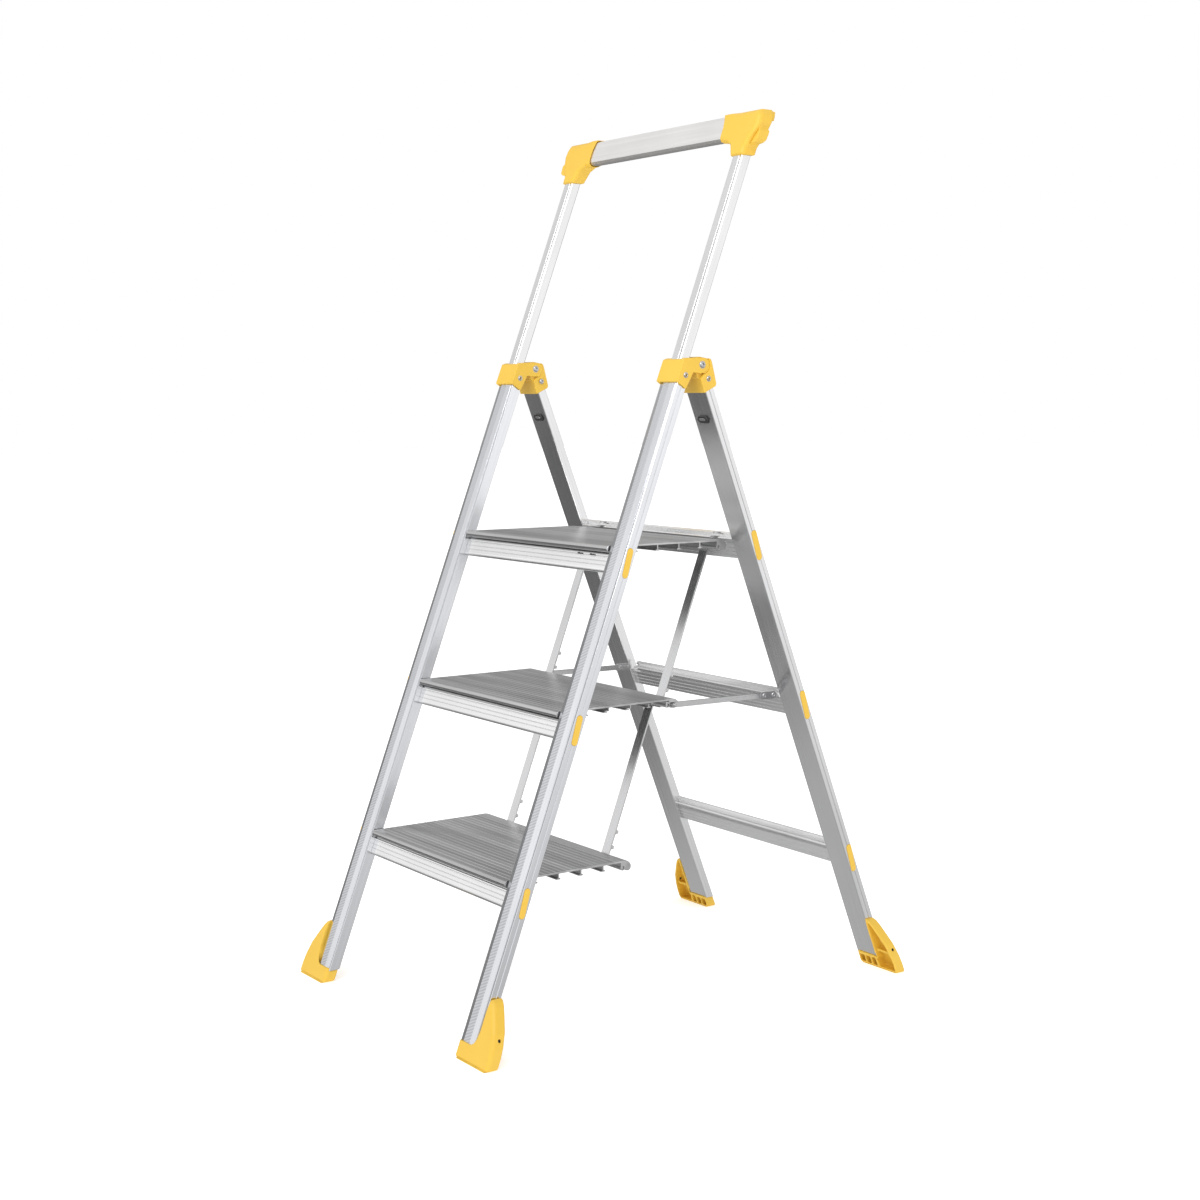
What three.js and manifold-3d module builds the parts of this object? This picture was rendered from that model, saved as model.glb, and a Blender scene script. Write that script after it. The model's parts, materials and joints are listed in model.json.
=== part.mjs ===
// Folding three-tread step stool with a raised hand bar.
// Millimetres, +Z up, treads climbed from -Y, rear frame towards +Y, symmetric about X = 0.
import * as THREE from 'three';
import { mergeVertices } from 'three/addons/utils/BufferGeometryUtils.js';
import Module from 'manifold-3d';

const wasm = await Module();
wasm.setup();

// Frames: a point with depth t behind a frame's front plane sits at y = origin + slope * z + t.
const FRONT_SLOPE = 0.3787;
const REAR_SLOPE = -0.3971;
const REAR_ORIGIN = 792.5;
const FOOT_FRONT_T = [-3, 18.5];
const FOOT_REAR_T = [-2.3, 18.9];
const Y_MID = (FOOT_FRONT_T[0] + REAR_ORIGIN + FOOT_REAR_T[1]) / 2;

const GAP = 0.3;
const RAIL_IN = 203;
const RAIL_FRONT = { width: 44, depth: 19, wall: 2.2, bottom: 20.3, top: 975.3 };
const RAIL_REAR = { width: 46, depth: 17, wall: 2.2, bottom: 20.3, top: 966 };

const LEVELS = { top: 722, mid: 482, bottom: 242 };
const TREAD_HALF = 200;
const TREAD_START = -3.9;
const TREAD_HINGE = [12.62, -15];
const LINK_ROD = [212.5, -11];
const SPREADER_PIN = [222, -10.8];
const SPREADER_END = [598.42, 469];

const CROSS_HALF = RAIL_IN - GAP;
const REAR_CROSS_TOPS = { top: 732, mid: 477.7, bottom: 220 };
const REAR_CROSS_INSETS = { top: 3, mid: 0, bottom: 0 };
const REAR_CROSS_HEIGHT = 41.5;
const LIP_SLOTS = [124, 156];

const LINKS = [
  { name: 'lower', x: 136, low: 'bottom', high: 'mid' },
  { name: 'upper', x: 155, low: 'mid', high: 'top' },
];
const LINK_WIDTH = 18.4;
const LINK_DEPTH = [221.3, 224.3];

const PIVOT = [408.5, 988.5];
const TUBE = { in: 213.5, width: 23.5, depth: 18, wall: 1.8, bottom: 980.3, top: 1310 };
const BAR_HALF = 180;

const INSERT_FRONT = { zs: { top: 699, mid: 460.5, bottom: 218.5 }, t: 9.6, length: 45, slope: 0.28 };
const INSERT_REAR = { zs: { top: 715, mid: 457.5, bottom: 196 }, t: 9.2, length: 48, slope: -0.3 };
const INSERT_HALF_WIDTH = 5;

const LOOKS = {
  aluminium: { color: 0xc9cdd1, roughness: 0.35, metalness: 0.9 },
  tread: { color: 0xb4b7ba, roughness: 0.5, metalness: 0.9 },
  steel: { color: 0x8d9094, roughness: 0.35, metalness: 0.9 },
  yellow: { color: 0xf2b92e, roughness: 0.45, metalness: 0 },
  dark: { color: 0x3a3c3f, roughness: 0.5, metalness: 0 },
};

const model = new THREE.Group();
model.name = 'folding_step_stool';

// ---------- geometry helpers ----------

function shape(points, holes = []) {
  const corners = points.map(([a, b]) => new THREE.Vector2(a, b));
  if (THREE.ShapeUtils.isClockWise(corners)) corners.reverse();
  const outline = new THREE.Shape(corners);
  outline.holes = holes.map((hole) => new THREE.Path(hole.map(([a, b]) => new THREE.Vector2(a, b))));
  return outline;
}

function extrude(points, depth, holes) {
  return new THREE.ExtrudeGeometry(shape(points, holes), { depth, bevelEnabled: false });
}

// Outline in (y, z), swept between two x values.
function alongX(points, x0, x1, holes) {
  const turn = new THREE.Matrix4().makeBasis(
    new THREE.Vector3(0, 1, 0), new THREE.Vector3(0, 0, 1), new THREE.Vector3(1, 0, 0));
  const low = Math.min(x0, x1);
  return extrude(points, Math.abs(x1 - x0), holes).applyMatrix4(turn).translate(low, 0, 0);
}

// Outline in (x, z), swept between two depths.
function alongT(points, t0, t1, holes) {
  return extrude(points, t1 - t0, holes).rotateX(Math.PI / 2).translate(0, t1, 0);
}

// Outline in (x, t), swept between two heights.
function alongZ(points, z0, z1, holes) {
  return extrude(points, z1 - z0, holes).translate(0, 0, z0);
}

function box(x0, x1, t0, t1, z0, z1) {
  const geometry = new THREE.BoxGeometry(Math.abs(x1 - x0), t1 - t0, z1 - z0);
  return geometry.translate((x0 + x1) / 2, (t0 + t1) / 2, (z0 + z1) / 2);
}

function rod(radius, x0, x1, [y, z], sides = 16) {
  const geometry = new THREE.CylinderGeometry(radius, radius, Math.abs(x1 - x0), sides);
  return geometry.rotateZ(Math.PI / 2).translate((x0 + x1) / 2, y, z);
}

// Frame coordinates (x, t, z) to model coordinates.
function lean(geometry, slope, origin) {
  const shear = new THREE.Matrix4().set(1, 0, 0, 0, 0, 1, slope, origin - Y_MID, 0, 0, 1, 0, 0, 0, 0, 1);
  return geometry.applyMatrix4(shear);
}

const front = (geometry) => lean(geometry, FRONT_SLOPE, 0);
const rear = (geometry) => lean(geometry, REAR_SLOPE, REAR_ORIGIN);
const level = (geometry) => lean(geometry, 0, 0);

function solid(geometry) {
  const plain = geometry.clone();
  plain.deleteAttribute('normal');
  plain.deleteAttribute('uv');
  const merged = mergeVertices(plain, 1e-3);
  const mesh = new wasm.Mesh({
    numProp: 3,
    vertProperties: merged.attributes.position.array,
    triVerts: Uint32Array.from(merged.index.array),
  });
  return new wasm.Manifold(mesh);
}

function geometryOf(body) {
  const mesh = body.getMesh();
  const geometry = new THREE.BufferGeometry();
  geometry.setAttribute('position', new THREE.BufferAttribute(Float32Array.from(mesh.vertProperties), 3));
  geometry.setIndex(new THREE.BufferAttribute(Uint32Array.from(mesh.triVerts), 1));
  return geometry;
}

function cut(base, tools) {
  return geometryOf(tools.reduce((body, tool) => body.subtract(solid(tool)), solid(base)));
}

function join(pieces) {
  return geometryOf(pieces.slice(1).reduce((body, piece) => body.add(solid(piece)), solid(pieces[0])));
}

function addPiece(name, geometry, look) {
  const flat = geometry.index ? geometry.toNonIndexed() : geometry;
  flat.computeVertexNormals();
  const material = new THREE.MeshStandardMaterial({ ...LOOKS[look], name: look });
  const mesh = new THREE.Mesh(flat, material);
  mesh.name = name;
  model.add(mesh);
}

function arc([a, b], radius, from, to, steps) {
  return Array.from({ length: steps + 1 }, (_, i) => {
    const angle = THREE.MathUtils.degToRad(from + ((to - from) * i) / steps);
    return [a + radius * Math.cos(angle), b + radius * Math.sin(angle)];
  });
}

// Long slot shape in (y, z), leaning with the given slope.
function stadium([y, z], length, halfWidth, slope) {
  const tilt = THREE.MathUtils.radToDeg(Math.atan(slope));
  const reach = length / 2 - halfWidth;
  const dir = [Math.sin(Math.atan(slope)) * reach, Math.cos(Math.atan(slope)) * reach];
  return [
    ...arc([y + dir[0], z + dir[1]], halfWidth, -tilt, 180 - tilt, 7),
    ...arc([y - dir[0], z - dir[1]], halfWidth, 180 - tilt, 360 - tilt, 7),
  ];
}

const mirrorX = (points, side) => points.map(([x, other]) => [side * x, other]);

// ---------- rails and their plugs ----------

// The same extrusion stands on both sides, so its face runs from -X to +X on the left too.
function sameWay(face, width, side) {
  return side > 0 ? face : face.map(([u, t]) => [width - u, t]).reverse();
}

function railSection(spec, lands, side) {
  const x = (u) => side * (RAIL_IN + u);
  const face = sameWay(lands, spec.width, side).map(([u, t]) => [x(u), t]);
  const back = [
    [x(spec.width), spec.depth - 0.8], [x(spec.width - 0.8), spec.depth],
    [x(0.8), spec.depth], [x(0), spec.depth - 0.8],
  ];
  const sideGroove = [
    [x(spec.width), spec.depth / 2 - 0.7], [x(spec.width - 0.5), spec.depth / 2],
    [x(spec.width), spec.depth / 2 + 0.7],
  ];
  const w = spec.wall;
  const hollow = [
    [x(w), w + 2.2], [x(spec.width - w), w + 2.2],
    [x(spec.width - w), spec.depth - w], [x(w), spec.depth - w],
  ];
  return { points: [...face, ...sideGroove, ...back], hollow };
}

// A sloping strip, the flat band, a thin sloping step and the outer edge.
const FRONT_LANDS = [[0, 2.9], [10, 0.3], [10.6, 0], [38.5, 0], [38.6, 1], [43, 0.1], [44, 0.8]];

const REAR_LANDS = [[0, 1], [1, 0], [45, 0], [46, 1]];

function insertOutline(insert, z, slope, origin, grow) {
  const centre = [origin + slope * z + insert.t, z];
  return stadium(centre, insert.length + 2 * grow, INSERT_HALF_WIDTH + grow, insert.slope);
}

function addRail(label, frameName, spec, lands, insert, slope, origin, side) {
  const { points, hollow } = railSection(spec, lands, side);
  const bar = lean(alongZ(points, spec.bottom, spec.top, [hollow]), slope, origin);
  const outer = RAIL_IN + spec.width;
  const pockets = Object.values(insert.zs).map((z) => level(
    alongX(insertOutline(insert, z, slope, origin, GAP), side * (outer - 4), side * (outer + 3))));
  addPiece(`rail_${frameName}_${label}`, cut(bar, pockets), 'aluminium');
  for (const [name, z] of Object.entries(insert.zs)) {
    const plug = alongX(insertOutline(insert, z, slope, origin, 0), side * (outer - 2), side * (outer + 0.9));
    addPiece(`plug_${frameName}_${name}_${label}`, level(plug), 'yellow');
  }
}

// ---------- crossbars ----------

function frontCrossSection(top) {
  const z = (drop) => top - drop;
  return [
    [7.8, z(14.5)], [7.8, z(16.2)], [9.3, z(17.5)], [9.3, z(18.5)], [8.9, z(18.8)], [8.9, z(23)],
    [9.4, z(23.3)], [9.4, z(23.9)], [8.9, z(24.2)], [8.9, z(29)], [9.4, z(29.3)], [9.4, z(29.9)],
    [8.9, z(30.2)], ...arc([14.9, z(35)], 6, 180, 270, 6), [17, z(41)], [17, z(39.2)],
    [14.9, z(39.2)], [11.7, z(38.2)], [10.9, z(35)], [10.9, z(23.4)],
    [17, z(23.4)], [17, z(21.6)], [9.9, z(21.6)], [9.9, z(14.5)],
  ];
}

function rearCrossSection(top, inset) {
  const h = REAR_CROSS_HEIGHT;
  const ribs = [];
  for (const drop of [24, 30, 36]) {
    ribs.push([6, drop], [6.6, drop + 0.4], [6.6, drop + 1], [6, drop + 1.4]);
  }
  const face = [
    [12.6, 0], [9, 3], [9, 5], [10.6, 5.3], [10.6, 7.4], [2.6, 8.2], [0, 10.2], [0, 11],
    [7.8, 11.6], [7.8, 16.2], [4.8, 18.4], [4.8, 19], [6, 19.5], ...ribs, [6, h],
  ];
  const inside = [[8.2, h - 1.8], [8.2, 20], [12.6, 12], [12.6, 1.8]];
  const drops = [
    ...face.map(([t, drop]) => [t + inset, drop]), [16, h], [16, h - 1.8],
    ...inside.map(([t, drop]) => [t + inset, drop]), [16, 1.8], [16, 0],
  ];
  return drops.map(([t, drop]) => [t, top - drop]);
}

// Room for the spreaders' ends in the middle bar, and for the links' swing past the top one.
function rearCrossNotches(name, top) {
  const cuts = {
    top: [[144.9, 165.1, 9.8, -12, -7.8], [144.9, 165.1, 13.9, -5.2, 5]],
    mid: [[190.5, 210, 30, -15, 5]],
    bottom: [],
  };
  return [-1, 1].flatMap((side) => cuts[name].map(([x0, x1, depth, low, high]) => (
    box(side * x0, side * x1, -10, depth, top + low, top + high))));
}

function addCrossbars() {
  for (const [name, top] of Object.entries(LEVELS)) {
    const bar = alongX(frontCrossSection(top), -CROSS_HALF, CROSS_HALF);
    const slots = name === 'top' ? LIP_SLOTS.map((x) => box(x - 8, x + 8, 7, 11, top - 17.2, top - 14)) : [];
    addPiece(`crossbar_front_${name}`, front(slots.length ? cut(bar, slots) : bar), 'aluminium');
  }
  for (const [name, top] of Object.entries(REAR_CROSS_TOPS)) {
    const bar = alongX(rearCrossSection(top, REAR_CROSS_INSETS[name]), -CROSS_HALF, CROSS_HALF);
    addPiece(`crossbar_rear_${name}`, rear(cut(bar, rearCrossNotches(name, top))), 'aluminium');
  }
}

// ---------- treads ----------

const treadPoint = (name, [dy, dz]) => [
  FRONT_SLOPE * LEVELS[name] + TREAD_START + dy, LEVELS[name] + dz,
];

function treadPlate() {
  const points = [...arc([4.5, -4.5], 4.5, 270, 90, 6)];
  for (let dy = 12; dy < 208; dy += 9.8) {
    points.push([dy, 0], [dy + 0.3, -0.6], [dy + 1.3, -0.6], [dy + 1.6, 0]);
  }
  points.push([217, 0], [217, -2.8], [7.6, -2.8], [7.6, -9]);
  return points;
}

function treadNose() {
  return [
    [216, 0], [221, -1], [225, -3.6], [227.4, -7.4], [227.8, -11], [226.4, -14.4],
    [223, -16.4], [219, -15.8], [216.6, -13], [215.4, -9], [215, -2],
  ];
}

function treadPieces(half) {
  const sweep = (points) => alongX(points, -half, half);
  const ribs = [54.5, 95, 135.5, 176].map((dy) => sweep([
    [dy - 1, -2], [dy - 1, -9.6], [dy - 3.6, -9.8], [dy - 3.6, -11.6], [dy + 3.6, -11.6],
    [dy + 3.6, -9.8], [dy + 1, -9.6], [dy + 1, -2],
  ]));
  return [
    sweep(treadPlate()), sweep(treadNose()),
    rod(3.7, -half, half, TREAD_HINGE, 20), rod(4.2, -half, half, LINK_ROD, 20),
    sweep([[12.4, -2], [12.4, -12], [15.6, -12], [15.6, -2]]),
    sweep([[209, -2], [209, -9], [216, -9], [216, -2]]),
    ...ribs,
  ];
}

function linkNotches(name) {
  const tools = [];
  for (const link of LINKS.filter((item) => item.low === name || item.high === name)) {
    for (const side of [-1, 1]) {
      const x0 = side * link.x - LINK_WIDTH / 2 - 0.5;
      const x1 = side * link.x + LINK_WIDTH / 2 + 0.5;
      tools.push(box(x0, x1, 206, 217.2, -30, -2.8), box(x0, x1, 217, 240, -30, 10));
    }
  }
  return tools;
}

function spreaderNotches() {
  const tools = [];
  for (const side of [-1, 1]) {
    tools.push(box(side * 191.9, side * 210, 150, 240, -30, -5.5));
    tools.push(box(side * 191.9, side * 210, 60, 151, -30, -8));
    tools.push(rod(2.3, side * 181, side * 195, SPREADER_PIN, 16));
  }
  return tools;
}

function addTreads() {
  for (const name of Object.keys(LEVELS)) {
    const bores = [TREAD_HINGE, LINK_ROD].map((at) => rod(2.6, -TREAD_HALF - 5, TREAD_HALF + 5, at, 20));
    const tools = [...bores, ...linkNotches(name), ...(name === 'mid' ? spreaderNotches() : [])];
    const [y, z] = treadPoint(name, [0, 0]);
    const tread = cut(join(treadPieces(TREAD_HALF)), tools).translate(0, y, z);
    addPiece(`tread_${name}`, level(tread), 'tread');
    const hinge = rod(2.3, -CROSS_HALF, CROSS_HALF, treadPoint(name, TREAD_HINGE));
    addPiece(`hinge_rod_${name}`, level(hinge), 'steel');
    const linkRod = rod(2.3, -TREAD_HALF + 1, TREAD_HALF - 1, treadPoint(name, LINK_ROD));
    addPiece(`link_rod_${name}`, level(name === 'mid' ? shortLinkRod() : linkRod), 'steel');
  }
}

function shortLinkRod() {
  return rod(2.3, -190, 190, treadPoint('mid', LINK_ROD));
}

// ---------- links and spreaders ----------

function linkEnd(name, x0, x1) {
  const [y, z] = treadPoint(name, LINK_ROD);
  const across = [0.9352, -0.3542];
  const along = [0.3542, 0.9352];
  const corner = (a, b) => [y + a * across[0] + b * along[0], z + a * across[1] + b * along[1]];
  return [
    alongX([corner(0, -3.6), corner(10, -3.6), corner(10, 3.6), corner(0, 3.6)], x0, x1),
    rod(4.2, x0, x1, [y, z], 20),
  ];
}

function addLink(link, label, side) {
  const x0 = side * link.x - LINK_WIDTH / 2;
  const x1 = side * link.x + LINK_WIDTH / 2;
  const bottom = LEVELS[link.low] - 19;
  const top = LEVELS[link.high] - 9.5;
  const bar = lean(box(x0, x1, ...LINK_DEPTH, bottom, top), FRONT_SLOPE, 0).translate(0, Y_MID, 0);
  const teeth = [7, 30].map((rise) => {
    const z = LEVELS[link.low] + rise;
    const y = FRONT_SLOPE * z + LINK_DEPTH[1];
    return alongX([[y - 2, z - 3], [y + 4.4, z - 3], [y + 5, z + 2], [y, z + 3.4]], x0, x1);
  });
  const ends = [...linkEnd(link.low, x0, x1), ...linkEnd(link.high, x0, x1)];
  const bores = [link.low, link.high].map((name) => rod(2.6, x0 - 5, x1 + 5, treadPoint(name, LINK_ROD), 20));
  addPiece(`link_${link.name}_${label}`, level(cut(join([bar, ...ends, ...teeth]), bores)), 'aluminium');
}

function addSpreader(label, side) {
  const start = treadPoint('mid', SPREADER_PIN);
  const x0 = side * 192.4;
  const x1 = side * 196.6;
  const run = [SPREADER_END[0] - start[0], SPREADER_END[1] - start[1]];
  const length = Math.hypot(...run);
  const along = run.map((value) => value / length);
  const up = [-along[1], along[0]];
  const at = (a, b) => [start[0] + a * along[0] + b * up[0], start[1] + a * along[1] + b * up[1]];
  const bar = alongX([at(0, -4.2), at(length, -4.2), at(length, 4.2), at(0, 4.2)], x0, x1);
  const body = join([bar, rod(4.2, x0, x1, start, 20), rod(4.2, x0, x1, SPREADER_END, 20)]);
  const bores = [start, SPREADER_END].map((at2) => rod(2.4, x0 - 5, x1 + 5, at2, 16));
  addPiece(`spreader_${label}`, level(cut(body, bores)), 'steel');
  const pin = rod(2, side * 181.5, side * 198.6, start, 16);
  addPiece(`spreader_pin_${label}`, level(pin), 'steel');
}

// ---------- brackets at the main pivot ----------

const EAR_OUTLINE = [
  [361, 964.4], [378, 952.8], [386, 966.5], [392, 977.2], [402, 976.4], [405, 975.6],
  ...arc(PIVOT, 12.6, -90, 20, 6), [419.6, 996], [416, 998.7], [380, 998.4], [373.5, 996],
];
const BLOCK_OUTLINE = [
  [361, 964.4], [378, 952.8], [386, 966.5], [394.3, 988], [394.8, 998.5], [380, 998.4], [373.5, 996],
];

function addFrontBracket(label, side) {
  const piece = (points, x0, x1) => level(alongX(points, side * x0, side * x1));
  const body = join([
    piece(EAR_OUTLINE, 246.6, 250.6), piece(EAR_OUTLINE, 199.4, 203.4), piece(BLOCK_OUTLINE, 201, 249),
  ]);
  const tools = [
    front(box(side * (RAIL_IN - GAP), side * 247.3, -0.3, 19.3, 900, RAIL_FRONT.top + GAP)),
    front(box(side * 213.2, side * 237.3, -0.3, 18.3, TUBE.bottom - GAP, 1100)),
    level(rod(4.3, side * 190, side * 260, PIVOT, 20)),
  ];
  addPiece(`bracket_front_${label}`, cut(body, tools), 'yellow');
}

const HEAD_OUTLINE = [
  ...arc(PIVOT, 12.3, 100, 190, 5), [398.6, 980], [403.2, 969], [426, 969], [429.6, 972],
  [425.6, 983], [421.2, 995.5], [417.5, 999],
];
const SKIRT_OUTLINE = [
  [411.6, 946.8], [433, 957], [434.4, 960.9], [431.6, 971.5], [426, 992], [424, 996.6], [420.6, 998.4],
  ...arc(PIVOT, 14.2, 38, -78, 7), [404.8, 968.4],
];

function addRearBracket(label, side) {
  const piece = (points, x0, x1) => level(alongX(points, side * x0, side * x1));
  const body = join([piece(HEAD_OUTLINE, 204, 246), piece(SKIRT_OUTLINE, 200.4, 252)]);
  const tools = [
    rear(box(side * (RAIL_IN - GAP), side * 249.3, -0.3, 17.3, 900, RAIL_REAR.top + GAP)),
    level(rod(4.3, side * 190, side * 260, PIVOT, 20)),
  ];
  addPiece(`bracket_rear_${label}`, cut(body, tools), 'yellow');
  addPiece(`pivot_pin_${label}`, level(rod(4, side * 199.6, side * 250.4, PIVOT, 20)), 'steel');
  const clip = alongT(mirrorX([
    [209.5, 901], [211.5, 900], [238.5, 900], [240.5, 901], [240.5, 913], [238.5, 914],
    [211.5, 914], [209.5, 913],
  ], side), -4.6, -GAP);
  addPiece(`clip_${label}`, rear(clip), 'dark');
}

// ---------- feet ----------

const FOOT_OUTLINE = [
  [204.4, 3], [207, 0], [287, 0], [290.6, 1.4], [291.8, 5], [291.6, 16], [289.2, 31], [282.6, 50],
  [269, 71], [262, 81], [256.5, 86.6], [252, 88.8], [249, 89.2], [249, 48], [246.5, 35], [242, 28],
  [236, 24.4], [206, 24.4], [204.4, 22.8],
];
const FOOT_CAVITIES = [
  [[252.4, 35.4], [284, 34.4], [279.4, 48.6], [266, 69.2], [259.4, 78.6], [254.6, 83], [252.4, 83.6]],
  [[252, 3.4], [287.4, 3.4], [288.2, 15], [285.8, 29.8], [251.6, 31], [248, 26]],
  [[208, 3.6], [219.6, 3.6], [219.6, 16], [208, 16]],
  [[222.6, 3.6], [233.4, 3.6], [233.4, 16], [222.6, 16]],
  [[236.4, 3.6], [247.4, 3.6], [245.4, 18], [236.4, 16]],
];

function addFoot(name, place, [t0, t1], railDepth, railWidth, side, cavitySign) {
  const base = alongT(mirrorX(FOOT_OUTLINE, side), t0, t1);
  const railBox = box(side * (RAIL_IN - 3), side * (RAIL_IN + railWidth + GAP), -GAP, railDepth + GAP, 20, 120);
  const open = cavitySign > 0 ? [t0 + 3.4, t1 + 2] : [t0 - 2, t1 - 3.4];
  const cavities = FOOT_CAVITIES.map((points) => alongT(mirrorX(points, side), ...open));
  addPiece(name, place(cut(base, [railBox, ...cavities])), 'yellow');
}

// ---------- hand bar ----------

const CORNER_OUTLINE = [
  [210, 1302], [240.5, 1302], [240.5, 1313], [254, 1337], [258, 1350], [255.6, 1362], [250, 1370.5],
  [168.5, 1370.5], [175, 1346], [178, 1335], [201, 1320],
];
const BAR_SECTION = [
  [-3, 1338], [-1.6, 1333], [2, 1329.6], [8, 1328], [16, 1328.4], [22, 1332], [25.4, 1340],
  [25.8, 1352], [23.4, 1362], [17, 1367], [0, 1367.6], [-3, 1365.6],
];

function scaled(points, factor) {
  const middle = [0, 1].map((i) => points.reduce((sum, point) => sum + point[i], 0) / points.length);
  return points.map((point) => point.map((value, i) => middle[i] + (value - middle[i]) * factor[i]));
}

function addHandBar() {
  addPiece('hand_bar', front(alongX(BAR_SECTION, -BAR_HALF, BAR_HALF, [scaled(BAR_SECTION, [0.86, 0.9])])),
    'aluminium');
  for (const [label, side] of [['right', 1], ['left', -1]]) {
    addTube(label, side);
    addCorner(label, side);
  }
}

function addTube(label, side) {
  const { in: inner, width, depth, wall, bottom, top } = TUBE;
  const x = (u) => side * (inner + u);
  const face = [[0, 2], [2, 0], [15.8, 0], [15.9, 1], [20.6, 0.1], [22, 0.1], [width, 1.5]];
  const outline = [
    ...sameWay(face, width, side).map(([u, t]) => [x(u), t]),
    [x(width), depth - 2], [x(width - 2), depth], [x(2), depth], [x(0), depth - 2],
  ];
  const hollow = [
    [x(wall), wall + 1.2], [x(width - wall), wall + 1.2],
    [x(width - wall), depth - wall], [x(wall), depth - wall],
  ];
  addPiece(`hand_tube_${label}`, front(alongZ(outline, bottom, top, [hollow])), 'aluminium');
}

function addCorner(label, side) {
  const body = alongT(mirrorX(CORNER_OUTLINE, side), -5, 24);
  const sleeve = alongX(scaled(BAR_SECTION, [1.16, 1.12]), side * 174, side * 190);
  const beak = alongT(mirrorX([[185, 1354], [252, 1354], [250, 1368], [185, 1368]], side), 20, 30);
  const tools = [
    alongX(scaled(BAR_SECTION, [1.02, 1.015]), side * 100, side * (BAR_HALF + GAP)),
    box(side * 213.2, side * 237.3, -GAP, TUBE.depth + GAP, 1200, TUBE.top + GAP),
  ];
  addPiece(`hand_corner_${label}`, front(cut(join([body, sleeve, beak]), tools)), 'yellow');
}

// ---------- assembly ----------

for (const [label, side] of [['right', 1], ['left', -1]]) {
  addRail(label, 'front', RAIL_FRONT, FRONT_LANDS, INSERT_FRONT, FRONT_SLOPE, 0, side);
  addRail(label, 'rear', RAIL_REAR, REAR_LANDS, INSERT_REAR, REAR_SLOPE, REAR_ORIGIN, side);
  addFrontBracket(label, side);
  addRearBracket(label, side);
  addFoot(`foot_front_${label}`, front, FOOT_FRONT_T, RAIL_FRONT.depth, RAIL_FRONT.width, side, 1);
  addFoot(`foot_rear_${label}`, rear, FOOT_REAR_T, RAIL_REAR.depth, RAIL_REAR.width, side, -1);
  addSpreader(label, side);
  LINKS.forEach((link) => addLink(link, label, side));
}
addCrossbars();
addTreads();
addHandBar();

export default model;
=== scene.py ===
"""Looks of the folding step stool: materials, moulded plastic, rounded edges, screws, light and camera.

Everything is in metres in the row frame: +X right, +Y from the treads' front to the rear frame, +Z up.
Drawing places are in millimetres: x across, z up, and a frame's own depth t, which runs backwards from
its front plane and leans with the rails.
"""

import json
import math

import bmesh
import bpy
import numpy as np
from mathutils import Matrix, Vector


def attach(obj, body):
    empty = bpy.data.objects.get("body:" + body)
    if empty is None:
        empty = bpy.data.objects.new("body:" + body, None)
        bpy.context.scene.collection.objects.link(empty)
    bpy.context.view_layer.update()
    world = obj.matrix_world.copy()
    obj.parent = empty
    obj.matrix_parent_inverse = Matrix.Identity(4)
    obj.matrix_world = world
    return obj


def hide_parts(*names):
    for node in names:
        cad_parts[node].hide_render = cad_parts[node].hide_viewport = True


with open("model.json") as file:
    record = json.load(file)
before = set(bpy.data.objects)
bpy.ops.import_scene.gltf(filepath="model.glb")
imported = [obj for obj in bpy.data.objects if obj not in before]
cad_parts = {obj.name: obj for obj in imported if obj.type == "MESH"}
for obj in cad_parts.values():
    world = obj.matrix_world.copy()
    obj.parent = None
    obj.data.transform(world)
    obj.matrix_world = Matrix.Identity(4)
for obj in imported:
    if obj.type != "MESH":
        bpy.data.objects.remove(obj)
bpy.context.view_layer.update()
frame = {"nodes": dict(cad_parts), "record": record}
NODES = frame["nodes"]
BODY_OF = {node: body for body, members in frame["record"]["behaviour"]["bodies"].items() for node in members}
SIDES = {"right": 1, "left": -1}

MM = 0.001
MIDDLE_Y = 404.2
FRONT_SLOPE = 0.3787
REAR_SLOPE = -0.3971
REAR_ORIGIN = 792.5
PIVOT = (408.5, 988.5)
MID_LEVEL = 482
FRONT_LEAN = math.atan(FRONT_SLOPE)
REAR_LEAN = math.atan(REAR_SLOPE)

CAMERA_PLACE = (2.4397, -1.7326, 0.9338)
CAMERA_YAW = 54.692
CAMERA_DOWN = 6.066
CAMERA_LENS = 55.947
SENSOR = 36.0


def place(x, y, z):
    """Drawing millimetres to metres in the row frame."""
    return Vector((x * MM, (y - MIDDLE_Y) * MM, z * MM))


def front_place(x, t, z):
    return place(x, FRONT_SLOPE * z + t, z)


def rear_place(x, t, z):
    return place(x, REAR_ORIGIN + REAR_SLOPE * z + t, z)


# ---------- node trees ----------

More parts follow.
